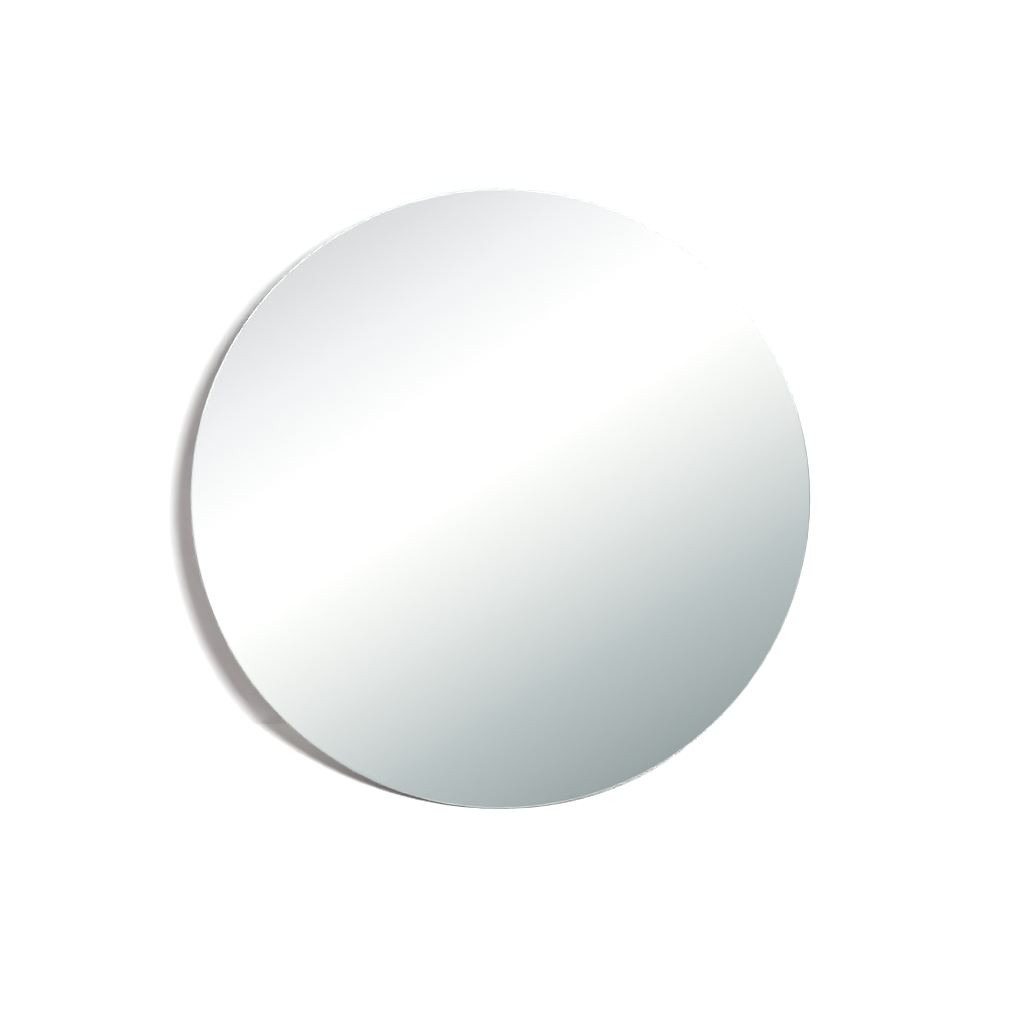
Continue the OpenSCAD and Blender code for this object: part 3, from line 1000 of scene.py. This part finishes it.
profile = filleted([
    (0, -0.5), (1.8, -0.47, 3), (3.25, -0.28, 0.5), (3.5, 0, 0.08), (TACK_R, 0), (TACK_R, 2.8),
    (0, 3.8),
], 5)
tack_face = ON_BOARD + RIBBON_T / 2
bm = placed(lathe(profile), at(0, tack_face, TACK_HEIGHT, FORWARD))
piece("tack", bm, MIRROR, "mirror", ["ribbon_tack"], ["tack_nickel"])

# The eyelet's flange lies on the strut's back. Its other end is rolled over the ribbon, where the
# rolled rim has split into lobes.
GRIP = 4.3
LOBES = 6
profile = filleted([
    (1.4, 0.4), (1.62, -0.36, 0.5), (2.3, -0.52, 0.5), (3.5, -0.2, 0.25), (3.46, 0, 0.05),
    (EYELET_R, 0), (EYELET_R, GRIP), (3.3, GRIP, 0.05), (3.2, GRIP + 0.34, 0.2),
    (2.3, GRIP + 0.5, 0.4), (1.55, GRIP + 0.34, 0.3), (1.4, GRIP - 0.4), (1.4, 0.4),
], 4)
bm = lathe(profile)
for v in bm.verts:
    radius = math.hypot(v.co.x, v.co.y)
    if v.co.z > GRIP - 0.01 and radius > 2.5:
        pull = 1 - 0.1 * max(0.0, math.cos(LOBES * math.atan2(v.co.y, v.co.x))) ** 6
        v.co.x *= pull
        v.co.y *= pull
bmesh.ops.remove_doubles(bm, verts=bm.verts, dist=1e-4)
bm = placed(bm, at(0, STRUT_BACK, EYELET_DOWN, FORWARD))
piece("eyelet", bm, STRUT, "strut", ["ribbon_eyelet"], ["tack_nickel"])


# ---------------------------------------------------------------- stage: counter and backdrop


def stage_object(name, bm, material):
    mesh = bpy.data.meshes.new(name)
    bm.to_mesh(mesh)
    bm.free()
    mesh.materials.append(material)
    obj = bpy.data.objects.new(name, mesh)
    bpy.context.scene.collection.objects.link(obj)
    obj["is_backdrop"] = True
    return obj


def seen_by(obj, **kinds):
    """Sets which rays meet a stage object or a lamp."""
    for kind in ("camera", "diffuse", "glossy", "transmission", "shadow", "volume_scatter"):
        setattr(obj, "visible_" + kind, kinds.get(kind, False))


def plain(name, colour):
    made = Recipe(name, colour, 0.9, Specular_IOR_Level=0.0)
    made.shader.inputs["Emission Color"].default_value = (1, 1, 1, 1)
    return made


def glowing_far(made, middle, near, far, also=0.0):
    """Makes a surface glow away from the object, so that it stays pale beyond the key's light."""
    apart = made.node("VectorMath", operation="DISTANCE")
    made.set(apart.inputs[0], made.node("NewGeometry").outputs["Position"])
    made.set(apart.inputs[1], middle)
    glow = made.levels(apart.outputs["Value"], near, far, 0.0, FAR_GLOW, smooth=True)
    made.set(made.shader.inputs["Emission Strength"], made.maths("ADD", glow, also))


FAR_GLOW = 0.8
COUNTER_HALF = 6
counter = plain("counter", (0.87, 0.87, 0.87))
glowing_far(counter, (0, 0, 0), 0.12, 0.32)
bm = bmesh.new()
bmesh.ops.create_grid(bm, x_segments=1, y_segments=1, size=COUNTER_HALF)
ground = stage_object("counter", bm, counter.material)

# The backdrop stands on the counter close behind the stand and parallel to the glass. It is just
# large enough for the camera's view, and it is seen from its front only.
BACKDROP_FAR = 97
BACKDROP_HALF = 0.36
BACKDROP_HIGH = 0.5
backdrop = plain("backdrop", (0.54, 0.51, 0.505))
foot = on_mirror(0, BACKDROP_FAR, 0)
up = MIRROR.to_3x3() @ Vector((0, 0, 1))
foot -= up * foot.z / up.z
# A faint glow along its foot evens out the shade in the corner with the counter
CREASE_GLOW = 0.18
CREASE_HIGH = 0.03
height = backdrop.axis("Z", backdrop.node("NewGeometry").outputs["Position"])
crease = backdrop.maths("POWER", backdrop.levels(height, 0, CREASE_HIGH, 1.0, 0.0), 3)
crease = backdrop.maths("MULTIPLY", crease, CREASE_GLOW)
glowing_far(backdrop, on_mirror(0, BACKDROP_FAR, GLASS_R), 0.16, 0.3, also=crease)
clear = backdrop.node("BsdfTransparent")
mixer = backdrop.node("MixShader")
backdrop.set(mixer.inputs[0], backdrop.node("NewGeometry").outputs["Backfacing"])
backdrop.set(mixer.inputs[1], backdrop.shader.outputs[0])
backdrop.set(mixer.inputs[2], clear.outputs[0])
backdrop.set(backdrop.tree.nodes["Material Output"].inputs["Surface"], mixer.outputs[0])

bm = bmesh.new()
right = Vector((BACKDROP_HALF, 0, 0))
corners = [foot - right, foot + right]
corners += [foot + right + up * BACKDROP_HIGH, foot - right + up * BACKDROP_HIGH]
bm.faces.new([bm.verts.new(corner) for corner in corners])
wall = stage_object("backdrop", bm, backdrop.material)
seen_by(wall, camera=True, transmission=True)


# ---------------------------------------------------------------- light

SKY_R = 5
face_middle = on_mirror(0, 0, GLASS_R)


def dome(name, radius, middle):
    """A glowing dome. Also returns its node tree and its light's node, to be coloured."""
    bm = bmesh.new()
    bmesh.ops.create_uvsphere(bm, u_segments=64, v_segments=32, radius=radius)
    bmesh.ops.reverse_faces(bm, faces=bm.faces)
    bmesh.ops.translate(bm, vec=middle, verts=bm.verts)
    material = bpy.data.materials.new(name)
    material.use_nodes = True
    tree = material.node_tree
    tree.nodes.remove(tree.nodes["Principled BSDF"])
    light = tree.nodes.new("ShaderNodeEmission")
    tree.links.new(light.outputs[0], tree.nodes["Material Output"].inputs["Surface"])
    return stage_object(name, bm, material), tree, light


seen_by(dome("sky", SKY_R, Vector((0, 0, 0)))[0], camera=True)

# What the glass and the metals mirror: one soft slope of light from the upper left to the lower
# right. Each stop is a place along it and a share of white. From -1 to 1 is what the glass shows
# to the camera, which reaches EDGE_SEES metres along the slope from the middle.
STUDIO_R = 2.5
STUDIO_SLOPE = math.radians(122)
STUDIO_GAIN = 1.14
EDGE_SEES = 0.3067
studio_stops = [
    (-8.0, (0.6, 0.6, 0.61)), (-5.5, (1.2, 1.2, 1.2)), (-3.6, (0.95, 0.95, 0.95)),
    (-2.2, (0.3, 0.32, 0.33)), (-1.4, (0.27, 0.3, 0.31)), (-1.0, (0.3, 0.33, 0.345)),
    (-0.6, (0.48, 0.51, 0.53)), (-0.2, (0.79, 0.77, 0.775)), (0.15, (1.02, 0.97, 0.985)),
    (0.35, (1.02, 0.97, 0.985)), (0.7, (0.88, 0.84, 0.875)), (1.0, (0.71, 0.68, 0.71)),
    (1.9, (0.55, 0.55, 0.56)), (3.0, (0.3, 0.3, 0.31)), (4.4, (0.5, 0.5, 0.5)),
    (5.5, (1.4, 1.4, 1.4)), (8.0, (0.9, 0.9, 0.9)),
]
studio, tree, light = dome("studio", STUDIO_R, face_middle)
seen_by(studio, glossy=True, transmission=True)
slope = leaning @ Vector((math.cos(STUDIO_SLOPE), 0, math.sin(STUDIO_SLOPE)))
place = tree.nodes.new("ShaderNodeTexCoord")
along = tree.nodes.new("ShaderNodeVectorMath")
along.operation = "DOT_PRODUCT"
tree.links.new(place.outputs["Object"], along.inputs[0])
along.inputs[1].default_value = slope
share = tree.nodes.new("ShaderNodeMapRange")
middle_share = face_middle.dot(slope)
share.inputs["From Min"].default_value = middle_share - STUDIO_R
share.inputs["From Max"].default_value = middle_share + STUDIO_R
tree.links.new(along.outputs["Value"], share.inputs["Value"])
ramp = tree.nodes.new("ShaderNodeValToRGB")
tree.links.new(share.outputs[0], ramp.inputs[0])
tree.links.new(ramp.outputs[0], light.inputs["Color"])
light.inputs["Strength"].default_value = STUDIO_GAIN
ramp.color_ramp.interpolation = "LINEAR"
while len(ramp.color_ramp.elements) > 1:
    ramp.color_ramp.elements.remove(ramp.color_ramp.elements[-1])
for index, (stop, colour) in enumerate(studio_stops):
    spot = 0.5 + stop * EDGE_SEES / (2 * STUDIO_R)
    if index:
        element = ramp.color_ramp.elements.new(spot)
    else:
        element = ramp.color_ramp.elements[0]
        element.position = spot
    element.color = (*colour, 1)

WORLD_FILL = 0.12
WARM = (1, 0.95, 0.92)
world = bpy.data.worlds.new("studio_fill")
world.use_nodes = True
bpy.context.scene.world = world
fill = world.node_tree.nodes["Background"]
fill.inputs["Color"].default_value = (*WARM, 1)
fill.inputs["Strength"].default_value = WORLD_FILL


def lamp(name, place, target, size, power, glossy=True, disk=False):
    data = bpy.data.lights.new(name, "AREA")
    data.shape = "DISK" if disk else "SQUARE"
    data.size = size
    data.energy = power
    obj = bpy.data.objects.new(name, data)
    bpy.context.scene.collection.objects.link(obj)
    obj.location = place
    obj.rotation_euler = (Vector(target) - Vector(place)).to_track_quat("-Z", "Y").to_euler()
    obj.visible_camera = False
    obj.visible_glossy = glossy
    obj.visible_transmission = glossy
    return obj


def lights_only(made, objects):
    """Keeps a lamp's light to some objects."""
    lit = bpy.data.collections.new(made.name + "_lit")
    for obj in objects:
        lit.objects.link(obj)
    made.light_linking.receiver_collection = lit


KEY_OFF = 168
KEY_TURN = math.radians(37)
KEY_SIZE = 0.125


def key(name, power, receivers, colour=(1, 1, 1)):
    across = KEY_OFF * math.cos(KEY_TURN)
    above = KEY_OFF * math.sin(KEY_TURN)
    place = on_mirror(DISC_LEFT + across, -CAMERA_FAR, GLASS_R - DISC_UP + above)
    made = lamp(name, place, face_middle, KEY_SIZE, power, glossy=False, disk=True)
    made.data.color = colour
    lights_only(made, receivers)


# The key stands by the camera, a little to its right and above, and throws the disc's soft-edged
# shadow down to the left. It is three lamps in one place: the counter needs a stronger one, as the
# light meets it at a low angle, and the backdrop a cooler one, as its own colour is a little warm.
key("key", 54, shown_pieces())
key("counter_key", 103, [ground])
key("backdrop_key", 54, [wall], (0.91, 1, 1.02))

# A wide soft light from above sets the shade of the shadow
sun = bpy.data.lights.new("overhead", "SUN")
sun.angle = math.radians(70)
sun.energy = 1.08
sun.color = WARM
overhead = bpy.data.objects.new("overhead", sun)
bpy.context.scene.collection.objects.link(overhead)
overhead.rotation_euler = (-LEAN, 0, 0)
seen_by(overhead, diffuse=True, shadow=True, volume_scatter=True)

# Two lamps behind light the stand, and nothing else
BACK_MIDDLE = (0, 0.03, 0.12)
lights_only(lamp("rear_right", (0.95, 1.15, 0.95), BACK_MIDDLE, 0.7, 11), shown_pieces())
lights_only(lamp("rear_left", (-1.15, 0.85, 0.55), BACK_MIDDLE, 0.5, 5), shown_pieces())
